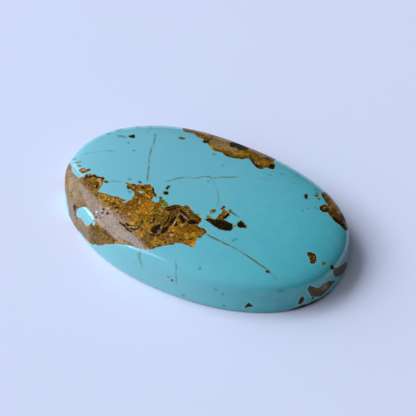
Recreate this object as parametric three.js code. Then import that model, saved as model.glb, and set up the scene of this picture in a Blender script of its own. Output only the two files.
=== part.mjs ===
// A polished oval turquoise cabochon: one solid stone, cut and polished from one piece.
// It has a flat back with a thin ground bevel round its edge, a girdle wall that leans in
// a little, and a low dome that runs on from the wall in one smooth curve.
// Millimetres, +Z up. The origin is the centre of the flat back, and the long way is X.
import * as THREE from 'three';

// Driving dimensions.
const LENGTH = 40;
const WIDTH = 24.9;
const HEIGHT = 6.5;
const WALL_HEIGHT = 3.3; // the dome's curve starts here
const WALL_LEAN = 0.07; // how far the side leans in for each millimetre up
const BACK_BEVEL = 0.3; // in from the edge and up the wall alike

// The outline is a superellipse, with the slow waves of a stone shaped by hand. Each wave
// repeats so many times in one turn, and its sizes are shares of the radius.
const OUTLINE_POWER = 2.29;
const OUTLINE_WAVES = [
  { repeats: 3, cosine: -0.0028, sine: 0.0063 },
  { repeats: 4, cosine: 0.0091, sine: 0.0016 },
  { repeats: 5, cosine: -0.003, sine: -0.0042 },
];

// The dome's section is a superellipse too: across ^ ACROSS_POWER + up ^ UP_POWER = 1.
const ACROSS_POWER = 2.65;
const UP_POWER = 2.8;

// How finely the faceted solid is cut.
const SEGMENTS = 96;
const DOME_RINGS = 22;
const WALL_RINGS = 3;

const HALF_LENGTH = LENGTH / 2;
const HALF_WIDTH = WIDTH / 2;

function signedPower(value, power) {
  return Math.sign(value) * Math.abs(value) ** power;
}

// The outline before it is centred and brought to size.
function rawOutline(turn) {
  let radius = 1;
  for (const wave of OUTLINE_WAVES) {
    radius += wave.cosine * Math.cos(wave.repeats * turn);
    radius += wave.sine * Math.sin(wave.repeats * turn);
  }
  return new THREE.Vector2(
    radius * signedPower(Math.cos(turn), 2 / OUTLINE_POWER),
    radius * signedPower(Math.sin(turn), 2 / OUTLINE_POWER),
  );
}

// The outline at each segment, running from -1 to 1 both ways about its own middle.
function unitOutline() {
  const points = [];
  for (let i = 0; i < SEGMENTS; i++) {
    points.push(rawOutline((i / SEGMENTS) * Math.PI * 2));
  }
  const box = new THREE.Box2().setFromPoints(points);
  const middle = box.getCenter(new THREE.Vector2());
  const halfSize = box.getSize(new THREE.Vector2()).divideScalar(2);
  return points.map((point) => point.sub(middle).divide(halfSize));
}

// How far the side has leant in at a height above the bevel.
function leanAt(z) {
  return WALL_LEAN * (z - BACK_BEVEL);
}

// The section from the middle of the back, out round the edge and up to the crown. Each
// step has its height, how far it is inset from the full outline, and then its share.
function profile() {
  const steps = [
    { z: 0, inset: BACK_BEVEL, share: 0 },
    { z: 0, inset: BACK_BEVEL, share: 1 },
  ];
  for (let i = 0; i < WALL_RINGS; i++) {
    const z = BACK_BEVEL + ((WALL_HEIGHT - BACK_BEVEL) * i) / WALL_RINGS;
    steps.push({ z, inset: leanAt(z), share: 1 });
  }
  for (let i = 0; i < DOME_RINGS; i++) {
    const angle = ((i / DOME_RINGS) * Math.PI) / 2;
    const up = Math.sin(angle) ** (2 / UP_POWER);
    const across = Math.cos(angle) ** (2 / ACROSS_POWER);
    const z = WALL_HEIGHT + (HEIGHT - WALL_HEIGHT) * up;
    steps.push({ z, inset: leanAt(z), share: across });
  }
  steps.push({ z: HEIGHT, inset: leanAt(HEIGHT), share: 0 });
  return steps;
}

// A lathe turns the section round the Z axis as plain circles, and then each circle is
// moved out to the outline, inset and scaled as its step in the section says.
function cabochonGeometry() {
  const steps = profile();
  const outline = unitOutline();
  const section = steps.map((step) => new THREE.Vector2(step.share, step.z));
  const geometry = new THREE.LatheGeometry(section, SEGMENTS);
  const position = geometry.getAttribute('position');
  for (let i = 0; i < position.count; i++) {
    const step = steps[i % steps.length];
    const around = outline[Math.floor(i / steps.length) % SEGMENTS];
    position.setXYZ(
      i,
      around.x * (HALF_LENGTH - step.inset) * step.share,
      around.y * (HALF_WIDTH - step.inset) * step.share,
      step.z,
    );
  }
  geometry.computeVertexNormals();
  return geometry;
}

function stoneMaterial() {
  return new THREE.MeshStandardMaterial({ color: 0x5dabbb, roughness: 0.15, metalness: 0 });
}

const cabochon = new THREE.Mesh(cabochonGeometry(), stoneMaterial());
cabochon.name = 'cabochon';

const stone = new THREE.Group();
stone.add(cabochon);

export default stone;
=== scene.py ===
# A polished oval turquoise cabochon with brown iron-oxide matrix, on a pale floor.
# The stone is one closed mesh. Its markings are outlines in millimetres on the stone's own
# surface. Each vertex stores its distances from them, and the material turns the distances
# into colour, polish and grain.
import math
import bpy
import numpy as np
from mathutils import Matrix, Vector, noise


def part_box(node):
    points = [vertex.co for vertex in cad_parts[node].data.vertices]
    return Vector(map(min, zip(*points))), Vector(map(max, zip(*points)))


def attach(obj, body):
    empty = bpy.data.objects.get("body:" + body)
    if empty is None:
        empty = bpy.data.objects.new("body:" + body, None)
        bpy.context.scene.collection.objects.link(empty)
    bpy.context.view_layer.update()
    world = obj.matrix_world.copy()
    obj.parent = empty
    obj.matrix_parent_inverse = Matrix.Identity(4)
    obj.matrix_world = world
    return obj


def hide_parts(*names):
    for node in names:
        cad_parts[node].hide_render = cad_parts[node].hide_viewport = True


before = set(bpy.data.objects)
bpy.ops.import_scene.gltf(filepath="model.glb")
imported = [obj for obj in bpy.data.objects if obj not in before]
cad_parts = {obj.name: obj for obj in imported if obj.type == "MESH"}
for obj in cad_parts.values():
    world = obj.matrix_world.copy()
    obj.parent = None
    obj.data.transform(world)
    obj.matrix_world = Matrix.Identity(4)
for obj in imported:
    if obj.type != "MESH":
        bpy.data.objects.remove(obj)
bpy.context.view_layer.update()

MM = 0.001

# ---- the stone's shape, mm
low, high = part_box("cabochon")
HALF_LENGTH = (high[0] - low[0]) / 2 / MM
HALF_WIDTH = (high[1] - low[1]) / 2 / MM
HEIGHT = (high[2] - low[2]) / MM
WALL_HEIGHT = 3.3
WALL_LEAN = 0.07
BACK_BEVEL = 0.3
BEVEL_SHARPNESS = 1.6  # 1 is a round edge and 2 a straight bevel
OUTLINE_POWER = 2.29
OUTLINE_WAVES = ((3, -0.0028, 0.0063), (4, 0.0091, 0.0016), (5, -0.003, -0.0042))
ACROSS_POWER = 2.65
UP_POWER = 2.8

# ---- how finely it is cut, mm
EDGE_DOWN = 0.128  # along a line from the crown to the rim
EDGE_ROUND = 0.132  # round a ring
BEVEL_RINGS = 4
BACK_EDGE = 0.42
TURN_SAMPLES = 3601  # how finely the curves are measured
DOME_SAMPLES = 1500
WALL_SAMPLES = 200
FEWEST_ROUND = 6  # the smallest ring round the crown


def signed_power(value, power):
    return np.sign(value) * np.abs(value) ** power


def raw_outline(turn):
    radius = 1 + sum(c * np.cos(k * turn) + s * np.sin(k * turn) for k, c, s in OUTLINE_WAVES)
    x = radius * signed_power(np.cos(turn), 2 / OUTLINE_POWER)
    y = radius * signed_power(np.sin(turn), 2 / OUTLINE_POWER)
    return np.stack([x, y], axis=-1)


FINE_TURNS = np.linspace(0, 2 * math.pi, TURN_SAMPLES)
FINE_RAW = raw_outline(FINE_TURNS)
OUTLINE_LOW = FINE_RAW.min(axis=0)
OUTLINE_HIGH = FINE_RAW.max(axis=0)
HALF_SIZE = np.array([HALF_LENGTH, HALF_WIDTH])


def unit_outline(turn):
    """The outline about its own middle, from -1 to 1 both ways."""
    middle = (OUTLINE_LOW + OUTLINE_HIGH) / 2
    return (raw_outline(turn) - middle) / ((OUTLINE_HIGH - OUTLINE_LOW) / 2)


def section_points(turn, section):
    """Points on the surface at one turn each, for a section of (z, inset, share) rows."""
    z, inset, share = section.T
    around = unit_outline(np.asarray(turn))[:, None, :]
    flat = around * (HALF_SIZE - inset[:, None]) * share[:, None]
    return np.concatenate([flat, np.broadcast_to(z[:, None], flat.shape[:2] + (1,))], axis=2)


def lean_at(z):
    return WALL_LEAN * (z - BACK_BEVEL)


def side_section():
    """The section from the crown, over the dome and down the wall, in even steps."""
    angle = np.linspace(0, math.pi / 2, DOME_SAMPLES)
    up = np.abs(np.cos(angle)) ** (2 / UP_POWER)
    dome_z = WALL_HEIGHT + (HEIGHT - WALL_HEIGHT) * up
    dome = np.stack([dome_z, lean_at(dome_z), np.sin(angle) ** (2 / ACROSS_POWER)], axis=1)
    wall_z = np.linspace(WALL_HEIGHT, BACK_BEVEL, WALL_SAMPLES)[1:]
    wall = np.stack([wall_z, lean_at(wall_z), np.ones_like(wall_z)], axis=1)
    fine = np.concatenate([dome, wall])
    run = surface_run(np.zeros(1), fine)[0]
    even = np.linspace(0, run[-1], round(run[-1] / EDGE_DOWN) + 1)
    return np.stack([np.interp(even, run, column) for column in fine.T], axis=1)


def surface_run(turn, section):
    """How far each point is from the crown, measured down the surface."""
    points = section_points(turn, section)
    steps = np.linalg.norm(np.diff(points, axis=1), axis=2)
    return np.concatenate([np.zeros((len(steps), 1)), np.cumsum(steps, axis=1)], axis=1)


def bevel_section():
    angle = np.linspace(0, math.pi / 2, BEVEL_RINGS + 1)[1:]
    inset = BACK_BEVEL * (1 - np.cos(angle) ** BEVEL_SHARPNESS)
    z = BACK_BEVEL * (1 - np.sin(angle) ** BEVEL_SHARPNESS)
    inset[-1] = BACK_BEVEL
    z[-1] = 0
    return np.stack([z, inset, np.ones_like(z)], axis=1)


def back_section():
    shares = np.linspace(1, 0, round(HALF_LENGTH / BACK_EDGE) + 1)[1:]
    return np.stack([np.zeros_like(shares), np.full_like(shares, BACK_BEVEL), shares], axis=1)


def even_turns(count):
    """Turns that lie evenly along the outline."""
    line = unit_outline(FINE_TURNS) * HALF_SIZE
    run = np.concatenate([[0], np.cumsum(np.linalg.norm(np.diff(line, axis=0), axis=1))])
    return np.interp(np.arange(count) / count * run[-1], run, FINE_TURNS), run[-1]


def zip_rings(first, first_count, second, second_count):
    """Triangles between two rings of any number of points, wound to face out."""
    marks = np.concatenate([
        (np.arange(first_count) + 1) / first_count,
        (np.arange(second_count) + 1) / second_count,
    ])
    on_first = np.arange(len(marks)) < first_count
    order = np.argsort(marks, kind="stable")
    on_first = on_first[order]
    i = np.cumsum(on_first) - on_first
    j = np.cumsum(~on_first) - ~on_first
    here = first + i % first_count
    below = second + j % second_count
    ahead = np.where(on_first, first + (i + 1) % first_count, second + (j + 1) % second_count)
    triangles = np.stack([here, below, ahead], axis=1)
    distinct = (here != below) & (below != ahead) & (ahead != here)
    return triangles[distinct]


def stone_surface():
    """Vertices and triangles in mm, with each vertex's chart place and whether it is back."""
    side = np.concatenate([side_section(), bevel_section()])
    back = back_section()
    section = np.concatenate([side, back])
    edges = np.concatenate([np.full(len(side), EDGE_ROUND), np.full(len(back), BACK_EDGE)])
    perimeter = even_turns(1)[1]
    run = surface_run(FINE_TURNS, section)
    rim = unit_outline(FINE_TURNS) * HALF_SIZE
    heading = np.unwrap(np.arctan2(rim[:, 1], rim[:, 0]))
    vertices, charts, starts, counts = [], [], [], []
    total = 0
    for ring, (row, edge) in enumerate(zip(section, edges)):
        count = max(FEWEST_ROUND, round(perimeter * row[2] / edge)) if row[2] > 0 else 1
        turns = even_turns(count)[0]
        vertices.append(section_points(turns, row[None, :])[:, 0])
        distance = np.interp(turns, FINE_TURNS, run[:, ring])
        angle = np.interp(turns, FINE_TURNS, heading)
        charts.append(np.stack([distance * np.cos(angle), distance * np.sin(angle)], axis=1))
        starts.append(total)
        counts.append(count)
        total += count
    triangles = [
        zip_rings(starts[k], counts[k], starts[k + 1], counts[k + 1])
        for k in range(len(section) - 1)
    ]
    on_back = np.arange(total) >= starts[len(side)]
    face_is_back = np.repeat(
        np.arange(len(triangles)) >= len(side) - 1, [len(t) for t in triangles]
    )
    return (
        np.concatenate(vertices), np.concatenate(triangles), np.concatenate(charts),
        on_back, face_is_back,
    )


# ---- the markings, mm
# The front's places are on a chart of the domed side: the crown is (0, 0), a point lies in
# the direction it has seen from above, and its distance is measured down the surface, so
# the wall unrolls outward. The back's places are (x, y) seen from above.
# An area is an outline, a line is (half width, points) and a spot is (x, y, its two radii)
# with a turn in radians where it has one.

MATRIX_AREAS = [
    # the large patch at the -X end, from its upper rim edge to its tail and back
    [(-19.9, -2), (-19.2, -2.5), (-18.6, -3), (-18.2, -3.5), (-17.7, -4), (-17, -4.3),
     (-16.5, -4.65), (-16, -4.65), (-15.5, -4.3), (-15.35, -3.85), (-15, -3.65), (-14.6, -3.7),
     (-14.2, -3.6), (-13.8, -3.8), (-13.4, -3.75), (-13.1, -3.5), (-12.75, -3.6), (-12.7, -3.95),
     (-12.55, -4.3), (-12.4, -4.7), (-12.3, -5.2), (-12.4, -5.8), (-12.15, -6.05), (-11.5, -5.9),
     (-10.6, -6), (-9.9, -5.9), (-9.4, -5.75), (-8.8, -5.85), (-8.25, -5.7), (-8.05, -5.85),
     (-8.3, -6.2), (-8, -6.25), (-7.75, -5.7), (-7.55, -5.2), (-7.6, -4.7), (-7.8, -4.3),
     (-8.2, -4.1), (-8.6, -4), (-8.8, -4.15), (-9.05, -3.9), (-9.4, -3.5), (-9.9, -3.35),
     (-9.55, -3.1), (-9, -3.2), (-8.75, -2.95), (-8.2, -2.95), (-7.9, -2.7), (-7.5, -2.6),
     (-7.3, -2.3), (-7, -2.15), (-6.75, -2.1), (-6.3, -2.3), (-5.9, -2.6), (-5.5, -3),
     (-5.1, -3.2), (-4.85, -3.5), (-5.1, -3.7), (-5.15, -4.1), (-5.05, -4.45), (-4.6, -4.5),
     (-4.1, -4.25), (-3.8, -4.3), (-3.3, -4.7), (-2.9, -4.75), (-2.75, -4.4), (-2.45, -4.1),
     (-2.3, -3.7), (-1.9, -3.6), (-1.65, -3.35), (-1.3, -3.45), (-1, -3.35), (-0.85, -3.05),
     (-0.5, -2.95), (-0.15, -3.15), (0.1, -3.4), (0.5, -3.45), (0.85, -3.85), (1.15, -4),
     (1.4, -3.8), (1.7, -3.85), (2, -4.1), (2.25, -4.35), (2.3, -4.7), (2.15, -5), (2.25, -5.45),
     (2.7, -5.5), (3.2, -5.35), (3.5, -5.5), (3.75, -5.8), (3.45, -6.1), (3.5, -6.45), (3.4, -6.8),
     (3.15, -7), (3.15, -7.5), (3.3, -7.9), (3.35, -8.2), (3.15, -8.5), (2.6, -8.55), (2.1, -8.6),
     (1.6, -8.7), (1, -8.9), (0.6, -9.3), (0.1, -9.65), (-0.5, -10.1), (-1, -10.5), (-1.5, -10.95),
     (-2.1, -11.3), (-3, -11.4), (-4.2, -11.5), (-5.2, -11.7), (-6.3, -11.85), (-7.5, -12.2),
     (-9, -12.6), (-10, -12.85), (-11.2, -13.05), (-12, -12.95), (-13, -13.05), (-14, -12.8),
     (-14.8, -12.45), (-15.5, -12), (-16.2, -11.5), (-16.9, -11.2), (-17.6, -11.6), (-18.6, -10.9),
     (-19.3, -10.4), (-19.4, -9.6), (-19.7, -9), (-19.3, -8.3), (-19.5, -7.6), (-19.25, -6.9),
     (-19.8, -6.2), (-20.8, -5.6), (-22, -4.9), (-23.2, -4.3), (-24.4, -3.4), (-24.6, -1.8),
     (-23, -1.7), (-22.2, -0.9), (-21.4, -1.3), (-20.7, -1.2)],
    # a small piece above its left part
    [(-17.05, -3.4), (-16.75, -3.1), (-16.5, -2.95), (-16.1, -3.1), (-15.75, -3), (-15.4, -3.1),
     (-15.5, -3.4), (-15.75, -3.7), (-16.1, -3.95), (-16.5, -3.85), (-16.8, -3.65)],
    # along the far rim
    [(-9.2, 11), (-8.9, 10.3), (-8.5, 9.75), (-8.2, 9.45), (-7.8, 9.6), (-7.35, 9.6), (-6.9, 9.8),
     (-6.5, 9.6), (-6, 9.25), (-5.6, 9.2), (-5.2, 9.3), (-4.85, 9), (-4.75, 8.65), (-4.4, 8.4),
     (-4.2, 8.6), (-3.8, 8.4), (-3.4, 8.05), (-3, 7.9), (-2.55, 7.55), (-2.2, 7.75), (-1.8, 7.8),
     (-1.4, 7.85), (-1.1, 7.7), (-0.75, 7.6), (-0.4, 7.5), (0.1, 7.65), (0.5, 7.7), (0.95, 7.9),
     (1.35, 8.1), (1.7, 8.5), (1.95, 8.7), (2.25, 8.7), (2.5, 8.5), (2.85, 8.2), (3.2, 7.95),
     (3.6, 7.75), (4, 7.6), (4.4, 7.65), (4.55, 7.95), (4.6, 8.2), (4.85, 8.45), (5.05, 8.5),
     (5.35, 8.45), (5.7, 8.6), (5.8, 9), (5.65, 9.4), (5.45, 9.75), (5.25, 9.95), (5, 10.4),
     (5, 10.85), (4.95, 11.8), (5, 12.8), (5.4, 13.6), (4.7, 14.6), (4.9, 15.6), (3.6, 17),
     (-4.6, 17), (-5.2, 15.2), (-6.4, 14.6), (-6.9, 13.4), (-8.4, 12.9), (-9.6, 12)],
    # the rim patch at the far +X side
    [(13.3, 10.4), (13.2, 9.6), (13.05, 8.9), (13.1, 8.4), (13.4, 8), (13.9, 7.65), (14.3, 7.25),
     (14.7, 6.95), (14.5, 6.7), (14.2, 6.35), (14.1, 5.9), (14.2, 5.5), (14.5, 5.25), (14.9, 5.3),
     (15.2, 5.6), (15.5, 5.6), (15.6, 5.3), (16, 5.2), (16.4, 5), (16.9, 4.8), (17.4, 4.8),
     (17.9, 4.7), (18.4, 4.6), (18.75, 4.7), (18.85, 5.2), (19.3, 6), (19.9, 6.5), (20.3, 7.6),
     (21.4, 8.4), (20.6, 10.6), (17, 13.2), (15.2, 12.4), (14.6, 11.6), (13.7, 11.3)],
    # the patch right of the middle: its body, its arm and the piece beside it
    [(2.6, -4.05), (2.85, -3.65), (3.2, -3.5), (3.6, -3.6), (3.7, -3.1), (3.6, -2.8), (3.65, -2.4),
     (3.85, -2), (3.7, -1.65), (3.4, -1.35), (3.45, -1), (3.6, -0.7), (3.8, -0.85), (3.75, -1.2),
     (4.1, -1.45), (4.5, -1.5), (4.85, -1.6), (4.85, -1.95), (4.75, -2.3), (4.6, -2.8), (4.75, -3),
     (5.1, -3), (5.35, -2.9), (5.6, -3.15), (5.95, -3.05), (6.15, -3.4), (6.2, -3.8), (6, -4.1),
     (5.5, -4.3), (5.1, -4.35), (4.75, -4.5), (4.3, -4.35), (3.8, -4.3), (3.3, -4.2), (3, -4.05),
     (2.75, -4.15)],
    [(6.55, -2.05), (7, -2.25), (7.45, -2.4), (7.85, -2.75), (7.4, -2.8), (7.1, -3), (6.8, -2.95),
     (6.5, -2.75), (6.45, -2.4)],
    # the small patch near the +X end
    [(16.15, -2.05), (16.3, -1.75), (16.6, -1.7), (16.95, -1.6), (17.25, -1.75), (17.35, -2.05),
     (17.55, -2.35), (17.7, -2.65), (17.55, -3), (17.3, -3.2), (17, -3), (16.7, -2.6),
     (16.3, -2.35)],
    # down the wall at the +X end
    [(19.7, -1.6), (20, -1.35), (20.4, -1.1), (20.75, -0.7), (21.1, -0.2), (21.35, 0.15),
     (21.65, 1.1), (22.1, 2), (22.5, 2.6), (22.9, 3.2), (23.4, 2.7), (23.5, 1.75), (23.4, 0.9),
     (23.15, 0.15), (22.8, -0.45), (22.3, -0.95), (21.9, -1.3), (21.4, -1.65), (21, -1.8),
     (20.5, -1.75), (20.2, -1.55)],
    [(18.7, -5.7), (18.95, -5.4), (19.3, -5.25), (19.8, -5.05), (20.2, -4.85), (20.75, -4.45),
     (20.7, -4), (20.8, -3.5), (21.35, -2.7), (21.9, -2.1), (22.4, -1.55), (22.8, -1.3),
     (22.75, -1.7), (22.55, -1.95), (22.65, -2.4), (22.75, -3.1), (22.75, -3.7), (22.6, -4.5),
     (22.1, -5.1), (21.4, -5.6), (20.6, -5.95), (19.7, -6), (19.1, -5.95)],
    [(20.2, -7.8), (19.75, -7.35), (19.5, -7), (19.85, -6.75), (20.5, -6.8), (20.8, -7.25),
     (20.6, -7.7)],
    [(21.35, -5.6), (21.65, -5.6), (21.55, -6), (22, -6), (22.4, -5.3), (22.7, -4.7), (23.1, -3.7),
     (23.4, -2.6), (23.9, -2.6), (23.7, -3.9), (23.1, -5.2), (22.6, -6.2), (21.9, -7.3),
     (21.1, -8.5), (20.2, -9.9), (18.9, -11.2), (18.6, -10.8), (19.6, -9.7), (20.5, -8.4),
     (21, -7.5), (21.5, -6.8), (21.9, -6.25), (21.5, -6.1), (21.3, -5.85)],
    [(13.95, -11.6), (14.35, -11.75), (14.7, -11.65), (15.1, -11.5), (15, -11.85), (14.7, -12.05),
     (14.45, -12.6), (14.1, -12.7), (14.1, -12.2)],
]

# Turquoise that the matrix closes round.
ISLANDS = [
    [(-15.5, -9.5), (-15, -9.3), (-14.5, -9.05), (-13.9, -8.75), (-13.3, -8.6), (-12.7, -8.55),
     (-11.9, -8.95), (-11.3, -9.3), (-10.85, -9.75), (-11.3, -10.45), (-11.8, -10.65),
     (-12.4, -10.75), (-13, -10.6), (-13.4, -10.3), (-13.8, -9.95), (-14.6, -9.85), (-15.2, -9.8)],
    [(-11.1, -10.1), (-10.5, -10.15), (-10.6, -10.5), (-11, -10.5)],
    [(-11.15, -8.7), (-10.8, -8.65), (-10.7, -9), (-10.95, -9.15)],
    [(-7.35, -3.8), (-7.1, -3.65), (-6.75, -3.75), (-6.8, -3.95), (-7.2, -3.95)],
    [(-8.3, -6.35), (-8.1, -5.8), (-7.75, -5.75), (-7.95, -6.2)],
]

# Near-black spots and edges, in the matrix and alone in the turquoise.
DARK_AREAS = [
    [(19.3, -10.2), (20.4, -8.6), (21, -7.6), (21.5, -6.9), (22, -6.1), (22.4, -5.4), (22.9, -5.2),
     (22.4, -6.5), (21.7, -7.7), (20.9, -8.9), (20.1, -10.1), (19.5, -10.7)],
    [(-2.85, -8.6), (-2.8, -8.1), (-2.55, -7.7), (-2.3, -7.3), (-2, -7.2), (-1.9, -7.7),
     (-1.9, -8.1), (-2.1, -8.45), (-2.5, -8.7)],
    [(-1.4, -8.5), (-1.6, -8), (-1.5, -7.6), (-1.25, -7.25), (-1.1, -7), (-0.9, -7.4),
     (-0.95, -7.95), (-1.15, -8.45)],
    [(0.75, -5.45), (0.8, -5), (1.35, -4.65), (1.9, -4.7), (2.2, -4.9), (1.8, -5.3), (1.2, -5.55)],
    [(-1.15, -5.2), (-0.85, -5.4), (-0.78, -6.4), (-0.82, -6.9), (-1.05, -6.9), (-1.25, -6.4),
     (-1.35, -5.8)],
    [(-0.75, -4.9), (-0.3, -4.8), (0.1, -5.15), (0.4, -5.3), (0.5, -5.6), (0.25, -5.95),
     (0.05, -5.6), (-0.3, -5.45), (-0.6, -5.15)],
    [(1.5, -4.5), (1.8, -4.3), (2.1, -4.35), (2.1, -4.6), (1.8, -4.65)],
    [(-0.5, -6.2), (-0.15, -6.35), (-0.2, -6.8), (-0.5, -6.65)],
    [(3.05, -6.8), (3.4, -6.6), (3.45, -6.85), (3.1, -7)],
    [(2.5, -4.05), (2.8, -3.5), (3.4, -3.5), (3.9, -3.3), (4.45, -2.95), (4.95, -2.95), (5.95, -3),
     (6.35, -3.7), (6.15, -4.15), (5.6, -4.4), (4.8, -4.55), (4.2, -4.45), (3.3, -4.2)],
    [(4.45, -1.75), (4.8, -1.6), (4.95, -1.85), (4.85, -2.4), (4.7, -2.85), (4.3, -2.85),
     (4.4, -2.2)],
    [(6.4, -2.7), (6.45, -2.25), (6.6, -1.95), (7.1, -2.1), (7.9, -2.75), (7.4, -2.85),
     (7.1, -3.1), (6.7, -3.05)],
    [(-14.3, 5), (-14, 5.3), (-13.75, 5.55), (-13.5, 5.3), (-13.25, 4.9), (-13.6, 4.7),
     (-14.1, 4.75)],
    [(11.4, 6.75), (11.7, 6.9), (11.95, 6.45), (12.05, 6.05), (11.85, 5.95), (11.6, 6.2)],
    [(-4.55, -1.25), (-4.3, -1), (-4.2, -1.35), (-4.3, -1.9), (-4.55, -1.8)],
    [(-4.55, -2.4), (-4.3, -2.15), (-3.9, -2.2), (-3.75, -2.5), (-3.95, -2.75), (-4.35, -2.8)],
    [(-1.8, 10.5), (-1.2, 9.8), (-0.7, 10.1), (0.1, 9.9), (0.8, 10.4), (0.85, 11.3), (-0.3, 11.8),
     (-1.2, 12), (-1.85, 11.6)],
    [(4.85, 9.3), (5.1, 9.85), (5.45, 9.8), (5.7, 9.3), (5.75, 8.8), (5.4, 8.6), (5.05, 8.8)],
    [(15.9, 5.3), (16.5, 5), (17.4, 4.85), (18.4, 4.7), (18.8, 5.2), (18.2, 5.6), (17.2, 5.4),
     (16.4, 5.5)],
    [(17, 6.4), (17.8, 6.2), (18.4, 6.8), (18.3, 7.8), (17.4, 8.2), (16.8, 7.4)],
    [(19.7, -7.1), (20, -6.95), (20.4, -7.2), (20.3, -7.6), (20, -7.4)],
    [(14.1, -11.7), (14.7, -11.7), (14.8, -11.85), (14.4, -12.1), (14.25, -12.5), (14.1, -12.3)],
    [(-16.2, -8.85), (-15.7, -8.45), (-15, -8.45), (-14.8, -8.7), (-15.2, -8.95), (-15.8, -9.15)],
]
DARK_LINES = [
    (0.13, [(-7.1, -9.2), (-6.5, -9.3), (-6, -9.5), (-5.5, -9.75), (-5, -9.8)]),
    (0.11, [(-6.3, -8.95), (-5.8, -9.1), (-5.3, -9.05), (-5, -8.75)]),
    (0.12, [(-5.3, -9.35), (-4.8, -9.4), (-4.5, -9.1), (-4.4, -8.7)]),
    (0.08, [(-6.4, -9.15), (-5.9, -9.3), (-5.5, -9.5)]),
    (0.13, [(-15.4, -4.1), (-15.1, -4.4), (-14.8, -4.2), (-14.3, -3.8), (-13.7, -3.9),
            (-13.2, -3.75), (-12.8, -3.8)]),
    (0.05, [(-12.2, -6.15), (-11.2, -6.05), (-10.2, -6.1), (-9.4, -5.9), (-8.6, -5.95)]),
    (0.05, [(-8.9, -3.1), (-8.1, -3.1), (-7.3, -2.7), (-6.6, -2.3)]),
    (0.12, [(-2.3, -4.9), (-1.8, -4.2), (-1.3, -3.7)]),
    (0.1, [(-1.9, -5.4), (-1.6, -6.2), (-1.7, -7)]),
    (0.12, [(-1.05, -4.1), (-0.4, -4.35), (0.15, -4.55), (0.6, -4.85)]),
    (0.11, [(-2.5, -9.1), (-1.9, -9.05), (-1.5, -8.75)]),
    (0.12, [(-0.45, -6.7), (-0.42, -6.3), (-0.46, -6)]),
    (0.08, [(-3.65, -6.2), (-3.3, -6.9), (-3.1, -7.6)]),
    (0.08, [(-1.2, 7.85), (-0.4, 7.65), (0.5, 7.85), (1.4, 8.25)]),
    (0.1, [(-6.1, -2.5), (-5.5, -3.2), (-5, -3.6)]),
    (0.1, [(-2.9, -4.7), (-2.4, -4.2), (-1.7, -3.6)]),
    (0.09, [(0.6, -3.7), (1.2, -4.1), (2, -4.2)]),
    (0.08, [(2.2, -5.6), (3, -5.5), (3.6, -5.8), (3.3, -6.7)]),
    (0.06, [(0.9, -8.85), (0.1, -9.55), (-0.9, -10.3), (-1.3, -10.7)]),
    (0.07, [(3.2, -8.45), (2.8, -8.5)]),
    (0.1, [(3, -6.95), (3.4, -6.7)]),
    (0.12, [(2.4, 8.75), (3.2, 8.15), (4, 7.8), (4.5, 7.95)]),
    (0.12, [(3.4, 10.1), (3.9, 10.5), (4.3, 11)]),
    (0.09, [(13.2, 8.5), (13.6, 8), (14.4, 7.3)]),
    (0.14, [(14.5, 6.7), (14.2, 6), (14.35, 5.5), (14.7, 5.4), (15.05, 5.7), (15.1, 6.3)]),
    (0.07, [(4.55, -1.3), (5.05, -1.35), (5.55, -1.45)]),
    (0.07, [(-15.85, -3.25), (-15.7, -3.1), (-15.4, -3.15)]),
    (0.09, [(-14.4, -3.7), (-14, -3.85), (-13.7, -4.2)]),
    (0.06, [(-16.15, -9), (-16.3, -9.35), (-16.45, -9.7), (-16.6, -10)]),
    (0.05, [(21.5, -5.75), (21.9, -5.8), (22.3, -5.9)]),
    (0.08, [(16.25, -2.1), (16.5, -1.85), (17, -1.75), (17.3, -2), (17.55, -2.5), (17.5, -2.9),
            (17.2, -3)]),
    (0.1, [(-4.75, 8.8), (-4.4, 8.6), (-4.3, 9.1)]),
]
DARK_SPOTS = [
    (3.6, -0.95, 0.16, 0.13, 0.3), (3.5, -1.4, 0.12, 0.12), (4.6, -1.05, 0.12, 0.08),
    (-11.2, -9.15, 0.12, 0.08), (-10.65, -8.95, 0.13, 0.1), (-10, -9.4, 0.12, 0.1),
    (-3.58, -6.4, 0.12, 0.32, 0.1), (-3.2, -6.98, 0.2, 0.2), (-3.7, -7.15, 0.12, 0.1),
    (-3.3, -7.57, 0.17, 0.13), (-4.45, -8, 0.12, 0.42, 0.1), (-0.55, -7.5, 0.12, 0.22, 0.3),
    (-0.32, -6.5, 0.17, 0.3, 0.2), (0.65, -9.2, 0.25, 0.12, 0.5), (-0.68, -10.1, 0.2, 0.1, 0.2),
    (3.2, -6.8, 0.2, 0.16), (-9, -3.9, 0.18, 0.1, -0.8), (-10.2, -8.15, 0.17, 0.17),
    (-10.1, -8.65, 0.15, 0.15), (-10.3, -9.2, 0.15, 0.12), (-10.65, -9.45, 0.15, 0.12),
    (-9.35, -8.55, 0.2, 0.16), (-11.1, -10.45, 0.2, 0.12, 0.5), (-4.55, 8.75, 0.32, 0.22),
    (19.85, -1.6, 0.32, 0.28), (21.5, -5.72, 0.22, 0.16), (-8.1, -2.35, 0.24, 0.13, -0.3),
    (13.15, -7.15, 0.22, 0.16), (-13, -5.2, 0.14, 0.4, 0.2), (-9.3, -6.9, 0.25, 0.13, -0.3),
    (-8.6, -7.3, 0.3, 0.14, 0.3), (-8.2, -7.9, 0.18, 0.14), (-10.6, -7, 0.2, 0.12, 0.2),
    (-0.2, -9.3, 0.2, 0.12, 0.6), (1.3, -8.2, 0.15, 0.12), (2.4, -7.6, 0.3, 0.1),
    (-6.2, -3.6, 0.4, 0.14, -0.5), (-7.3, -3, 0.45, 0.13, -0.3),
]

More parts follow.
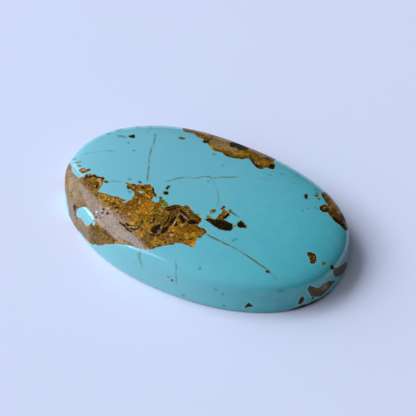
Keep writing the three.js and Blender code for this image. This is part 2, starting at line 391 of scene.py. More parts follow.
# Pale seams and grains inside the matrix.
PALE_LINES = [
    (0.07, [(-0.93, -4.6), (-0.7, -5.4), (-0.65, -6.15), (-0.65, -6.85)]),
    (0.07, [(-0.5, -4.6), (0, -4.8), (0.4, -5), (0.75, -5.15)]),
    (0.05, [(0.5, -5.65), (0.35, -6.2), (0.25, -6.8)]),
    (0.06, [(-2.6, -8.95), (-2, -8.8), (-1.7, -8.45), (-1.7, -8.05), (-1.8, -7.4)]),
    (0.08, [(-6.6, -4.9), (-6.35, -5.5), (-5.95, -6.2)]),
    (0.05, [(-13.8, -4.9), (-13.25, -5.35), (-12.8, -5.5)]),
    (0.06, [(-10.6, -9.25), (-10.5, -8.7), (-10.1, -8.4), (-9.75, -8.35)]),
    (0.05, [(-10.4, -9.5), (-10, -9.1), (-9.6, -8.9)]),
    (0.13, [(-13.9, -4), (-13.4, -4.15), (-12.9, -4.5), (-12.55, -5)]),
    (0.05, [(-8.7, -3.5), (-7.9, -3.6), (-7.2, -4.1)]),
    (0.06, [(-0.9, -8.2), (-0.4, -8.9), (0.3, -8.8)]),
]
PALE_SPOTS = [
    (4.4, -1.95, 0.14, 0.1, 0.5), (-0.2, -3.9, 0.14, 0.12), (-0.1, -8.1, 0.28, 0.2, 0.2),
    (1.7, -7.65, 0.22, 0.16), (-3.1, -7.6, 0.12, 0.12), (0.15, -4.15, 0.14, 0.12),
    (-5.6, -4.1, 0.2, 0.12, 0.4), (-9.7, -7.9, 0.25, 0.16), (-8.9, -6.6, 0.3, 0.14, -0.4),
    (-4.4, -5.4, 0.25, 0.14, 0.8), (-16.3, -3.4, 0.25, 0.14, 0.2), (-6.6, -7.6, 0.3, 0.16, 0.3),
    (16.4, 6.9, 0.2, 0.14, 0.3), (0.1, 8.85, 0.25, 0.15), (3.15, 8.7, 0.17, 0.13),
    (3.65, 8.55, 0.16, 0.13),
]

# Broad tints of the matrix.
ORANGE_AREAS = [
    [(-6.3, -4.7), (-5, -4.7), (-4.4, -5.3), (-4.2, -6.2), (-4.7, -6.7), (-5.3, -6.3),
     (-5.8, -5.6)],
    [(2, -8), (2.6, -7.6), (3.3, -7.9), (3.2, -8.4), (2.4, -8.4)],
    [(-7.4, -7.4), (-6.6, -7.1), (-5.8, -7.6), (-6.2, -8.2), (-7.2, -8.2)],
    [(14.4, 8.4), (14.8, 7.6), (15.4, 7), (16.4, 6.8), (16.9, 7.8), (16.2, 8.8)],
]
OLIVE_AREAS = [
    [(-14.8, -4.4), (-13.9, -4.1), (-13, -4.6), (-12.6, -5.2), (-12.7, -6), (-13.3, -6.2),
     (-14, -5.8), (-14.7, -5.1)],
    [(-1.5, 8.4), (-0.8, 8.6), (-0.1, 8.5), (0.7, 8.4), (0.3, 7.7), (-0.5, 7.5), (-1.2, 7.7)],
    [(-8.9, 10.3), (-8.2, 9.5), (-7, 9.7), (-6, 9.4), (-5.2, 9.6), (-5.6, 10.4), (-7.2, 10.9),
     (-8.8, 11.2)],
    [(1.4, 10.4), (1.6, 12), (2.6, 12), (3.5, 10.4), (3.4, 9.3), (2.6, 8.95), (2, 9.3)],
    [(15.3, 7.2), (16.7, 7.2), (16.9, 8.4), (15.8, 9)],
    [(3.5, -2.9), (3.6, -1.6), (4.2, -1.5), (4.4, -2.9)],
    [(0.6, -4.3), (1.4, -4.1), (0.9, -5), (-0.2, -4.6)],
    [(-17.6, -9.4), (-16.8, -9.2), (-16.8, -10), (-17.6, -10.2)],
    [(-12.8, -11), (-11.5, -10.6), (-9.5, -10.9), (-7, -11.7), (-9, -12.7), (-12.6, -13)],
    [(-4.6, -5.4), (-3, -5.1), (-2.1, -5.2), (-1.6, -6), (-2, -7.2), (-3.1, -8.1), (-3.7, -7.6),
     (-3.8, -6.2)],
    [(-3.7, -8.5), (-2.7, -9.1), (-2.1, -9.8), (-2.2, -10.4), (-2.8, -10.2)],
    [(0.6, 8.3), (1.6, 8.3), (2.6, 8.8), (1.8, 9.6), (0.8, 9.2)],
]
# Greyer matrix: partly its own colour and partly a painted reflection of the windows, where their
# band crosses the -X end and the lower-left shoulder.
GREY_AREAS = [
    [(-24.6, -1.6), (-20, -2), (-18, -3.3), (-16.6, -4.6), (-15.3, -4.9), (-14.1, -6),
     (-13.3, -6.3), (-12.3, -7), (-11.7, -7.4), (-10.8, -7.8), (-9.8, -8.1), (-8.8, -8.3),
     (-7.7, -8.7), (-7.2, -9.2), (-5.8, -9.9), (-4.4, -9.9), (-3.2, -10.2), (-2.2, -10.9),
     (-2, -11.4), (-4.4, -11.7), (-6, -11.7), (-7, -11.3), (-8, -10.9), (-9, -10.5), (-10, -10.1),
     (-10.9, -9.9), (-13.4, -8.5), (-14.4, -8.6), (-16.5, -9.3), (-17.6, -10.6), (-21, -9),
     (-24.6, -4)],
    [(-17.6, -10.6), (-16, -9.9), (-13.6, -10.4), (-12.6, -11.2), (-13.2, -12.6), (-15.5, -12.2),
     (-17.6, -11.8)],
    [(15, 7.4), (15, 6.2), (15.4, 6.2), (15.5, 7.2)],
]
# Dark slate matrix on the +X wall: partly its own colour, partly painted shade, as that wall faces
# away from the windows.
WALL_GREY_AREAS = [
    [(19.4, -0.9), (21, 0.6), (23, 5.2), (25.5, 5.2), (25.5, -7), (20.4, -13), (13.4, -13.6),
     (13.4, -11.2), (18.4, -8.2), (18.4, -5), (19.2, -3)],
]
RUSSET_AREAS = [
    [(-24.6, -1.6), (-20, -2), (-18.6, -2.9), (-17.9, -4.6), (-17.4, -6), (-16.9, -7.2),
     (-17, -8.3), (-18.8, -9), (-21.5, -8), (-24.6, -4)],
]
TAN_AREAS = [
    [(21.2, -4.2), (21, -3.85), (21.15, -3.3), (21.6, -2.95), (22.1, -3), (22.35, -3.4),
     (21.8, -4.1)],
    [(-18.6, -3.3), (-17.2, -4.3), (-16.1, -4.8), (-15.4, -5.4), (-14.9, -6.4), (-14.8, -7.6),
     (-15.8, -8.2), (-17.3, -7.8), (-18.3, -6)],
    [(-3.9, 9), (-3, 8.4), (-2, 8.4), (-1.2, 8.9), (-0.2, 8.9), (0.6, 9.2), (0.4, 9.8),
     (-0.8, 9.8), (-1.5, 10.4), (-1.8, 11.8), (-3.4, 12), (-4.2, 10.6)],
]
DEEP_AREAS = [
    [(-10.3, -10.2), (-8.9, -10.6), (-7.7, -10.95), (-6.7, -11.3), (-6.7, -11.8), (-7.9, -11.6),
     (-9, -11.3), (-10.3, -10.9)],
    [(-2.9, -4.8), (-2.4, -4.1), (-1.7, -3.55), (-1.2, -3.7), (-0.9, -4.4), (-0.85, -5.6),
     (-0.85, -7.2), (-1, -8.3), (-2, -8.6), (-2.95, -8.4), (-2.9, -7.4), (-2.2, -6.9), (-1.9, -6),
     (-2.3, -5.3)],
    [(-0.9, -3.2), (-0.2, -3.3), (0.9, -3.9), (2.1, -4.4), (2.1, -5.1), (0.9, -5.6), (0.2, -5.8),
     (-0.4, -5.2), (-0.9, -4.4)],
    [(13, 8.3), (13.2, 9.8), (14.5, 11.5), (17, 12.5), (20.5, 9.5), (19.5, 6.5), (18.8, 4.6),
     (16.4, 4.8), (14.2, 5.2), (14.6, 6.9)],
    [(-9.2, 11.2), (-8.4, 9.4), (-6.5, 9.5), (-5, 8.9), (-4.2, 8.3), (-3.6, 8.9), (-4.4, 9.9),
     (-6.5, 11)],
    [(-3, 8.3), (-2.4, 7.4), (-0.4, 7.3), (1.6, 8.2), (1.9, 9), (0.9, 8.7), (-0.4, 8.3),
     (-1.8, 8.2)],
    [(2, 8.9), (3, 7.9), (4.4, 7.4), (5.9, 8.6), (5.6, 9.8), (4.6, 9.6), (4.3, 8.7), (3.4, 8.6),
     (2.6, 9.2)],
    [(2.5, -4.2), (2.7, -3.5), (5, -2.8), (6.1, -2.9), (6.4, -3.8), (5, -4.6), (3, -4.4)],
    [(6.3, -2), (7, -2.1), (8, -2.8), (6.7, -3.1)],
    [(16, -2.1), (16.5, -1.6), (17.3, -1.6), (17.8, -2.7), (17.3, -3.3), (16.6, -2.8)],
    [(-9, 11.2), (-5.5, 10.9), (-2, 12.3), (1.5, 12.2), (4.8, 12), (5.2, 14), (3.6, 17),
     (-4.6, 17), (-9, 13)],
    [(3.15, 11.2), (3.5, 12.4), (4.7, 12.2), (4.5, 10.4), (3.85, 10.2)],
    [(-15.5, -4.2), (-15.1, -3.6), (-14.2, -3.7), (-14.8, -4.3), (-15.1, -4.6)],
]

# Iron-green stains and faint clouds in the turquoise.
GREEN_AREAS = [
    [(-4.3, -3.75), (-3.6, -3.65), (-2.9, -4), (-2.75, -4.6), (-3.1, -4.75), (-3.6, -4.3),
     (-4.1, -4.15)],
    [(12.45, 8.2), (12.7, 8.1), (12.95, 7.4), (12.75, 7.3), (12.35, 7.25), (12.6, 7.7)],
]
GREEN_SPOTS = [
    (-18.1, -2.3, 0.35, 0.1, 0.5), (-17.4, -2.8, 0.2, 0.1), (-18.9, -1.6, 0.2, 0.1, 0.4),
    (-4.3, -3.5, 0.22, 0.18), (4.6, -1.1, 0.15, 0.13), (2.72, -2.35, 0.4, 0.26, 1.2),
    (2.75, -3.4, 0.22, 0.18), (-7.6, 7.85, 0.42, 0.2, 0.1), (18.6, -2.1, 0.16, 0.24, -0.5),
    (-15.6, -3.1, 0.2, 0.16), (2.65, -13.9, 0.2, 0.16), (6.25, -3.25, 0.25, 0.12, 0.8),
    (7.55, -2.45, 0.18, 0.12), (-12.2, -4.15, 0.3, 0.16), (13.2, 7.2, 0.3, 0.1, -0.6),
    (-15.9, -9.25, 0.45, 0.16, 0.3), (-9.9, -8.9, 0.5, 0.2, 0.4), (1.3, -3.75, 0.2, 0.12, 0.4),
]
CLOUD_SPOTS = [
    (-15, 4.5, 0.7, 0.25, 0.1), (-16.6, 6.2, 0.5, 0.75, 0.4), (-17.3, 4.6, 0.35, 0.35),
    (-14.4, 7.6, 0.3, 0.3), (-11.1, 6.75, 0.22, 0.2), (-11.9, 2.5, 0.17, 0.17),
    (-13.4, 3.6, 0.2, 0.2), (12.2, 8.6, 0.25, 0.2), (13.75, 5.3, 0.17, 0.15),
    (12.85, 4.5, 0.18, 0.14), (12.55, 3.75, 0.18, 0.14), (5.95, 7.35, 0.2, 0.16),
    (7.1, 8.5, 0.22, 0.18), (-0.1, 5.6, 0.2, 0.16), (2, -13.6, 0.22, 0.2), (8.7, -12.2, 0.25, 0.2),
    (10, -12.4, 0.25, 0.2), (5.45, -10.7, 0.2, 0.2), (11.5, -13.9, 0.25, 0.2),
    (5.1, -15.6, 0.25, 0.2), (-0.3, 2, 0.2, 0.16), (7.2, -5.3, 0.2, 0.16), (7.5, -4.9, 0.2, 0.16),
    (16, -8.3, 0.5, 0.3, 0.5), (-9.6, -2.5, 0.25, 0.2), (-8.4, -4.4, 0.3, 0.2),
    (5.8, -1.5, 0.3, 0.14), (-2.2, 7, 0.3, 0.22),
]

# Hollows: small open holes that a polish doesn't reach.
PIT_SPOTS = [
    (-11.2, -9.15, 0.13, 0.09), (-10.65, -8.95, 0.14, 0.11), (-10.65, -9.45, 0.16, 0.13),
    (-10, -9.4, 0.13, 0.11), (-11.1, -10.45, 0.2, 0.12, 0.5), (-15.55, -8.75, 0.5, 0.2, 0.2),
    (-6.7, -9.3, 0.35, 0.12, -0.2), (-5.9, -9.2, 0.24, 0.12), (-5.2, -9.3, 0.24, 0.14),
    (-4.6, -9.2, 0.14, 0.2), (-10.2, -8.15, 0.2, 0.18), (-9.35, -8.55, 0.22, 0.18),
    (-10.1, -8.65, 0.17, 0.17), (-2.2, -8.6, 0.4, 0.25, 0.2), (19.85, -1.6, 0.26, 0.24),
    (21.5, -5.72, 0.2, 0.16), (11.75, 6.4, 0.16, 0.32, 0.4), (4.6, -3.9, 0.5, 0.18, 0.1),
    (5.4, 9.2, 0.22, 0.34), (-0.4, 10.8, 0.7, 0.5, 0.1), (20.1, -7.2, 0.25, 0.2),
]

# Hairline veins: (darkness, points), grouped so that no two of one group come close.
VEIN_GROUPS = [
    [
        (0.75, [(-11.1, 6.8), (-10.6, 5.8), (-10.3, 5), (-9.9, 3.6), (-9.2, 1.9), (-8.3, 0.2),
                (-7.7, -1.1), (-7.2, -2.2)]),
        (0.75, [(-5.3, -0.8), (-4.65, -0.15), (-4.2, 0.45), (-3.55, 1.05), (-2.75, 1.6),
                (-2.4, 1.5), (-1.8, 1.9), (-1.5, 2.3), (-0.8, 2.8), (-0.25, 2.8), (0.6, 3.4),
                (1.95, 4.25), (2.8, 4.75)]),
        (1, [(3.5, -5.9), (4.5, -6.1), (6, -6.15), (8, -6.25), (9.7, -6.45), (11.5, -6.75),
             (12.8, -6.9), (13.8, -7.15), (14.8, -7.5)]),
        (0.7, [(-2.9, -11.4), (-2.6, -12.4), (-2.4, -13.2), (-2.2, -14.2)]),
        (0.5, [(-18.3, -0.6), (-17, 0), (-15.5, 0.9), (-14, 1.4)]),
    ],
    [
        (0.35, [(-0.8, 2.7), (0.3, 2.4), (1.1, 1.6), (1.9, 0.6), (2.6, -0.6), (2.8, -1.4)]),
        (0.6, [(2, -10.8), (2.6, -11.7), (3, -12.7), (3.3, -13.7), (3.8, -14.8)]),
        (0.5, [(-12.2, -4.05), (-11.2, -3.6), (-10.4, -3.4), (-9.6, -3.3)]),
        (0.35, [(8.6, 11), (8.9, 9.4), (8.2, 8)]),
    ],
    [
        (0.4, [(-3.3, -11.5), (-3, -12), (-2.8, -13)]),
        (0.2, [(3, 4.9), (4, 5.35), (5.75, 6.2), (8, 7.4), (10.2, 8.3)]),
        (0.45, [(7.5, 14.5), (6.2, 12.4), (5.2, 10.9)]),
        (0.4, [(-14.5, 12), (-13.8, 9.8), (-12.5, 7.9), (-12.2, 6.2)]),
    ],
]

# The flat back: areas, lines and spots as (x, y) seen from above.
BACK_MATRIX_AREAS = [
    [(-20.6, -0.6), (-18.4, -0.4), (-17.2, -1.2), (-16.6, -2.4), (-14.9, -2.2), (-13.8, -3),
     (-12.2, -2.7), (-10.9, -3.5), (-9.3, -3.3), (-8.6, -4.4), (-7, -4.2), (-6.1, -5.2),
     (-7.1, -6.1), (-8.9, -6.2), (-9.6, -7.2), (-11.4, -7), (-12.4, -7.9), (-13.1, -9.4),
     (-15.2, -9.2), (-17.4, -8.4), (-20.4, -5.4), (-21.4, -2.4)],
    [(-5, 12.9), (-4.6, 10.9), (-3.2, 10.2), (-2.7, 8.9), (-1.1, 9.3), (0.3, 8.4), (1.4, 9.4),
     (2.9, 9.1), (3.6, 10.3), (4.6, 10.9), (3.8, 12.9), (0, 13.4)],
    [(14.9, 9.6), (14.1, 7.9), (14.9, 6.6), (16.4, 6.2), (16.9, 5.1), (18.2, 5.4), (19.6, 6.4),
     (17.6, 9.6)],
    [(20.6, 3.6), (18.6, 2.9), (18.1, 1.4), (17, 0.9), (16.5, -0.5), (17.4, -1.5), (17, -2.9),
     (17.9, -3.6), (20.8, -3.2)],
    [(3.2, -1), (4.6, -0.6), (5.4, -1.4), (6.9, -1.2), (7.4, -2.2), (6.3, -3), (5.1, -2.7),
     (4.4, -3.6), (3.3, -3), (2.5, -2)],
    [(14.9, -9.6), (15.6, -7.7), (17, -6.8), (18.6, -6.6), (18.4, -8.2), (16.6, -9.8)],
]
BACK_DARK_AREAS = [
    [(-16.9, -3.4), (-15.4, -3.2), (-14.8, -4.1), (-15.9, -4.9), (-17.2, -4.5)],
    [(-11.6, -4.6), (-10.4, -4.3), (-9.6, -5), (-10.7, -5.6), (-11.9, -5.3)],
    [(-1.2, 10.6), (0.4, 10.3), (1.1, 11.2), (-0.3, 11.8), (-1.4, 11.4)],
    [(17.9, 0.4), (18.9, 0.9), (19, -0.4), (18.2, -0.7)],
    [(4.1, -1.6), (5.2, -1.7), (5, -2.3), (4, -2.3)],
]
BACK_SPOTS = [
    (-4.2, 3.1, 0.5, 0.25, 0.4), (9.4, 4.2, 0.3, 0.22), (-9.8, 5.4, 0.3, 0.2, 0.7),
    (1.3, -7.2, 0.45, 0.22, 0.2), (11.2, -4.9, 0.25, 0.2), (-13.2, 3.3, 0.2, 0.2),
    (6.8, 7.9, 0.4, 0.2, -0.3), (-1.9, -3.9, 0.25, 0.18),
]
BACK_VEINS = [
    (0.8, [(-8.8, -3.6), (-8, -0.9), (-6.2, 1.8), (-5.4, 4.9), (-4.1, 7.6), (-3, 9.4)]),
    (0.7, [(7.2, -2), (9.6, -0.8), (12.1, 0.6), (14.6, 0.7), (16.7, 0.4)]),
    (0.6, [(-6.3, -5.4), (-3.4, -6.6), (-0.6, -8.4), (1.2, -10.6), (1.8, -12.6)]),
]


# ---- distances from the markings
REACH = 1.2  # no marking is felt further off than this
VEIN_REACH = 0.5
VEIN_TIP = 0.8  # a vein fades over this length at each end
VEIN_TIP_SHARE = 0.15  # of its darkness, left at its very end
FAR_AWAY = 1000.0  # where the other side's vertices are put, out of every marking's reach


def near(places, low_corner, high_corner):
    """The numbers of the places within reach of a marking's box."""
    inside = (places > np.array(low_corner) - REACH) & (places < np.array(high_corner) + REACH)
    return np.flatnonzero(inside.all(axis=1))


def everywhere(places, picked, depth):
    """The depth at the picked places, and out of reach at all the others."""
    spread = np.full(len(places), -REACH)
    spread[picked] = np.maximum(depth, -REACH)
    return spread


def along_segment(places, start, end):
    """How far along a segment each place is, from 0 to 1, and its nearest point's offset."""
    step = end - start
    share = np.clip(((places - start) @ step) / (step @ step), 0, 1)
    return share, places - start - share[:, None] * step


def area_depth(places, outline):
    """How far each place is inside an outline. Outside it is less than 0."""
    corners = np.array(outline, float)
    picked = near(places, corners.min(axis=0), corners.max(axis=0))
    here = places[picked]
    nearest = np.full(len(here), np.inf)
    inside = np.zeros(len(here), bool)
    for start, end in zip(corners, np.roll(corners, -1, axis=0)):
        offset = along_segment(here, start, end)[1]
        nearest = np.minimum(nearest, np.hypot(*offset.T))
        crosses = (start[1] > here[:, 1]) != (end[1] > here[:, 1])
        rise = end[1] - start[1]
        if rise:
            reach = start[0] + (here[:, 1] - start[1]) * (end[0] - start[0]) / rise
            inside ^= crosses & (here[:, 0] < reach)
    return everywhere(places, picked, np.where(inside, nearest, -nearest))


def line_depth(places, half_width, path):
    corners = np.array(path, float)
    picked = near(places, corners.min(axis=0), corners.max(axis=0))
    here = places[picked]
    nearest = np.full(len(here), np.inf)
    for start, end in zip(corners[:-1], corners[1:]):
        nearest = np.minimum(nearest, np.hypot(*along_segment(here, start, end)[1].T))
    return everywhere(places, picked, half_width - nearest)


def spot_depth(places, x, y, radius_x, radius_y, turn=0.0):
    middle = np.array([x, y])
    size = max(radius_x, radius_y)
    picked = near(places, middle - size, middle + size)
    offset = places[picked] - middle
    across = offset[:, 0] * math.cos(turn) + offset[:, 1] * math.sin(turn)
    along = offset[:, 1] * math.cos(turn) - offset[:, 0] * math.sin(turn)
    share = np.hypot(across / radius_x, along / radius_y)
    return everywhere(places, picked, (1 - share) * min(radius_x, radius_y))


def depth_of(places, areas=(), lines=(), spots=()):
    """How far each place is inside any of the markings."""
    depth = np.full(len(places), -REACH)
    for outline in areas:
        depth = np.maximum(depth, area_depth(places, outline))
    for half_width, path in lines:
        depth = np.maximum(depth, line_depth(places, half_width, path))
    for spot in spots:
        depth = np.maximum(depth, spot_depth(places, *spot))
    return depth


def vein_field(places, veins):
    """The distance to the nearest vein, signed by its side, and how dark the vein is here."""
    distance = np.full(len(places), REACH)
    darkness = np.zeros(len(places))
    for vein_darkness, path in veins:
        corners = np.array(path, float)
        lengths = np.hypot(*np.diff(corners, axis=0).T)
        total = lengths.sum()
        picked = near(places, corners.min(axis=0), corners.max(axis=0))
        here = places[picked]
        nearest = np.full(len(here), REACH)
        run = np.zeros(len(here))
        behind = 0
        for start, end, length in zip(corners[:-1], corners[1:], lengths):
            share, offset = along_segment(here, start, end)
            step = end - start
            side = np.sign(step[0] * (here[:, 1] - start[1]) - step[1] * (here[:, 0] - start[0]))
            gap = np.hypot(*offset.T)
            closer = gap < np.abs(nearest)
            nearest = np.where(closer, gap * np.where(side == 0, 1, side), nearest)
            run = np.where(closer, behind + share * length, run)
            behind += length
        tips = np.clip(np.minimum(run, total - run) / VEIN_TIP + VEIN_TIP_SHARE, 0, 1)
        better = np.abs(nearest) < np.abs(distance[picked])
        distance[picked[better]] = nearest[better]
        darkness[picked[better]] = (vein_darkness * tips)[better]
    darkness[np.abs(distance) > VEIN_REACH] = 0
    return distance, darkness


def markings(charts, plans, on_back):
    """Every marking's depth at every vertex, by name."""
    front = np.where(on_back[:, None], FAR_AWAY, charts)
    back = np.where(on_back[:, None], plans, FAR_AWAY)
    matrix = depth_of(front, MATRIX_AREAS)
    matrix = np.minimum(matrix, -depth_of(front, ISLANDS))
    fields = {
        "matrix": np.maximum(matrix, depth_of(back, BACK_MATRIX_AREAS)),
        "dark": np.maximum(
            depth_of(front, DARK_AREAS, DARK_LINES, DARK_SPOTS),
            depth_of(back, BACK_DARK_AREAS, spots=BACK_SPOTS),
        ),
        "pale": depth_of(front, lines=PALE_LINES, spots=PALE_SPOTS),
        "orange": depth_of(front, ORANGE_AREAS),
        "olive": depth_of(front, OLIVE_AREAS),
        "grey": depth_of(front, GREY_AREAS),
        "wall_grey": depth_of(front, WALL_GREY_AREAS),
        "tan": depth_of(front, TAN_AREAS),
        "russet": depth_of(front, RUSSET_AREAS),
        "deep": depth_of(front, DEEP_AREAS),
        "green": depth_of(front, GREEN_AREAS, spots=GREEN_SPOTS),
        "cloud": depth_of(front, spots=CLOUD_SPOTS),
        "pit": depth_of(front, spots=PIT_SPOTS),
    }
    for number, veins in enumerate(VEIN_GROUPS):
        distance, darkness = vein_field(front, veins)
        if number == 0:
            back_distance, back_darkness = vein_field(back, BACK_VEINS)
            distance = np.where(on_back, back_distance, distance)
            darkness = np.where(on_back, back_darkness, darkness)
        fields[f"vein_{number}"] = distance
        fields[f"vein_{number}_darkness"] = darkness
    return fields


# ---- the relief, mm, all inward
MATRIX_SUNK = 0.01  # the matrix polishes a little lower than the turquoise
MATRIX_UNEVEN = 0.007
PIT_SUNK = 0.04
DARK_SUNK = 0.008
RELIEF_FLOOR = 0.35  # below this height the relief fades out, so the back edge stays true
MATRIX_BANK = (-0.05, 0.3)  # the depths in a marking over which it goes down, mm
DARK_BANK = (-0.02, 0.12)
PIT_BANK = (-0.06, 0.16)
MATRIX_LUMPS = ((0.35, 0.9, 3.0), (0.3, 0.4, 7.0))  # (share, size in mm, seed)
PIT_LUMPS = (0.25, 0.3, 5.0)


def smooth_step(value, low_end, high_end):
    share = np.clip((value - low_end) / (high_end - low_end), 0, 1)
    return share * share * (3 - 2 * share)


def surface_normals(vertices, triangles):
    a, b, c = (vertices[triangles[:, k]] for k in range(3))
    face_normals = np.cross(b - a, c - a)
    normals = np.zeros_like(vertices)
    for k in range(3):
        for axis in range(3):
            normals[:, axis] += np.bincount(triangles[:, k], face_normals[:, axis], len(vertices))
    return normals / np.linalg.norm(normals, axis=1, keepdims=True)


def lumps(vertices, size, seed):
    """Smooth bumps of about a size, from -1 to 1, one value a vertex."""
    shift = Vector((seed, seed * 2.0, seed * 3.0))
    return np.array([noise.noise(Vector(place) / size + shift) for place in vertices.tolist()])


def sink(vertices, triangles, fields):
    """The vertices moved in along their normals where the markings lie lower."""
    in_matrix = smooth_step(fields["matrix"], *MATRIX_BANK)
    uneven = 0.5 + sum(share * lumps(vertices, *kind) for share, *kind in MATRIX_LUMPS)
    in_dark = smooth_step(fields["dark"], *DARK_BANK)
    in_pit = smooth_step(fields["pit"], *PIT_BANK)
    pit_share, *pit_kind = PIT_LUMPS
    rough_floor = 1 - pit_share + pit_share * lumps(vertices, *pit_kind)
    depth = in_matrix * (MATRIX_SUNK + MATRIX_UNEVEN * np.clip(uneven, 0, 1))
    depth = depth + DARK_SUNK * in_dark * in_matrix + PIT_SUNK * in_pit * rough_floor
    depth = depth * smooth_step(vertices[:, 2], 0.0, RELIEF_FLOOR)
    depth[vertices[:, 2] <= BACK_BEVEL] = 0
    return vertices - depth[:, None] * surface_normals(vertices, triangles)


# ---- the mesh
def add_object(name, data):
    made = bpy.data.objects.new(name, data)
    bpy.context.scene.collection.objects.link(made)
    return made


CHART_PLACE = (24.6, 16.6)  # the middle of the domed side on the UV map, mm
BACK_PLACE = (24.6, 45.6)
UV_SPAN = 58.2


def lay_out(mesh, charts, plans, face_is_back, triangles):
    """One UV map with the domed side unrolled below and the back above it."""
    loops = triangles.ravel()
    is_back = np.repeat(face_is_back, 3)[:, None]
    front = (charts[loops] + CHART_PLACE) / UV_SPAN
    back = (plans[loops] * (-1, 1) + BACK_PLACE) / UV_SPAN
    layer = mesh.uv_layers.new(name="OFBake")
    layer.data.foreach_set("uv", np.where(is_back, back, front).astype(np.float32).ravel())


def make_stone():
    vertices, triangles, charts, on_back, face_is_back = stone_surface()
    plans = vertices[:, :2].copy()
    fields = markings(charts, plans, on_back)
    sunk = sink(vertices, triangles, fields)
    mesh = bpy.data.meshes.new("turquoise_cabochon")
    mesh.from_pydata((sunk * MM).tolist(), [], triangles.tolist())
    mesh.shade_smooth()
    lay_out(mesh, charts, plans, face_is_back, triangles)
    for name, values in fields.items():
        attribute = mesh.attributes.new(name, "FLOAT", "POINT")
        attribute.data.foreach_set("value", values.astype(np.float32))
    return add_object("turquoise_cabochon", mesh)


# ---- material helpers
LIGHT_TINT = (0.83, 0.893, 1.134)  # daylight, rather cool


def tone(red, green, blue):
    """A colour given as it looks on screen in that light, 0 to 255, as the shader wants it."""
    parts = [value / 255 for value in (red, green, blue)]
    linear = [p / 12.92 if p <= 0.04045 else ((p + 0.055) / 1.055) ** 2.4 for p in parts]
    return (*(part / tint for part, tint in zip(linear, LIGHT_TINT)), 1.0)


class Graph:
    """Short calls for the nodes of one material, or of the world."""

    def __init__(self, owner):
        owner.use_nodes = True
        self.tree = owner.node_tree
        self.tree.nodes.clear()

    def node(self, kind, **settings):
        made = self.tree.nodes.new(kind)
        for name, value in settings.items():
            setattr(made, name, value)
        return made

    def put(self, socket, value):
        if isinstance(value, bpy.types.NodeSocket):
            self.tree.links.new(value, socket)
        else:
            socket.default_value = value

    def vector(self, operation, space, value):
        """The outputs of one vector operation on a space's coordinates."""
        made = self.node("ShaderNodeVectorMath", operation=operation)
        self.put(made.inputs[0], self.node("ShaderNodeTexCoord").outputs[space])
        self.put(made.inputs[1], value)
        return made.outputs

    def surface(self, sockets):
        """The material's one shader, given its sockets' values by name."""
        shader = self.node("ShaderNodeBsdfPrincipled")
        for name, value in sockets.items():
            self.put(shader.inputs[name], value)
        self.put(self.node("ShaderNodeOutputMaterial").inputs["Surface"], shader.outputs[0])

    def math(self, operation, *values):
        made = self.node("ShaderNodeMath", operation=operation)
        for socket, value in zip(made.inputs, values):
            self.put(socket, value)
        return made.outputs[0]

    def add(self, first, second):
        return self.math("ADD", first, second)

    def times(self, first, second):
        return self.math("MULTIPLY", first, second)

    def axis(self, name):
        made = self.node("ShaderNodeSeparateXYZ")
        self.put(made.inputs[0], self.place)
        return made.outputs[name]

    def field(self, name):
        return self.node("ShaderNodeAttribute", attribute_name=name).outputs["Fac"]

    def step(self, value, low_end, high_end, start=0.0, finish=1.0):
        """A smooth rise from start to finish as the value goes from one end to the other."""
        made = self.node("ShaderNodeMapRange", interpolation_type="SMOOTHSTEP")
        for number, entry in enumerate((value, low_end, high_end, start, finish)):
            self.put(made.inputs[number], entry)
        return made.outputs[0]

    def mix(self, share, first, second, blend="MIX"):
        made = self.node("ShaderNodeMix", data_type="RGBA", blend_type=blend)
        self.put(made.inputs[0], share)
        self.put(made.inputs[6], first)
        self.put(made.inputs[7], second)
        return made.outputs[2]

    def noise(self, size, detail=2.0, roughness=0.5, distortion=0.0, seed=0.0):
        """Smooth noise about 0.5 whose features are about a size in mm."""
        made = self.node("ShaderNodeTexNoise", noise_dimensions="4D")
        self.put(made.inputs["Vector"], self.place)
        self.put(made.inputs["W"], seed)
        self.put(made.inputs["Scale"], 1 / size)
        self.put(made.inputs["Detail"], detail)
        self.put(made.inputs["Roughness"], roughness)
        self.put(made.inputs["Distortion"], distortion)
        return made.outputs["Fac"]


# ---- the stone's colours
TURQUOISE_LEFT = tone(109, 177, 199)  # towards -X, the windows' side; partly the stone's own tone, partly painted light
TURQUOISE_RIGHT = tone(68, 170, 188)
TURQUOISE_LOW_PAINTED_LIGHT = tone(113, 186, 206)  # low on the wall facing the windows: painted light
# painted shade low on the +X wall, which faces away from the windows
TURQUOISE_LOW_RIGHT_PAINTED_SHADE = tone(36, 134, 150)
TURQUOISE_LIGHT = tone(104, 184, 199)
TURQUOISE_HALO = tone(128, 194, 200)
CLOUD = tone(60, 118, 130)
GREEN_STAIN = tone(66, 68, 8)
GREEN_FRESH = tone(132, 134, 20)
RUST_RING = tone(104, 108, 48)
VEIN = tone(92, 100, 60)
MATRIX_BROWN = tone(112, 72, 0)
MATRIX_GOLD = tone(166, 122, 16)
MATRIX_GRAIN = tone(190, 156, 84)
MATRIX_UMBER = tone(44, 24, 4)
MATRIX_ORANGE = tone(184, 116, 8)
MATRIX_OLIVE = tone(100, 78, 14)
# partly a painted reflection of the windows
MATRIX_GREY_AND_REFLECTION = tone(126, 104, 70)
# partly painted shade of the +X wall
MATRIX_WALL_AND_SHADE = tone(53, 47, 45)
MATRIX_TAN = tone(140, 118, 76)
MATRIX_RUSSET = tone(127, 101, 52)
MATRIX_DEEP = tone(62, 40, 4)
MATRIX_PALE = tone(192, 168, 134)
NEARLY_BLACK = tone(22, 14, 4)

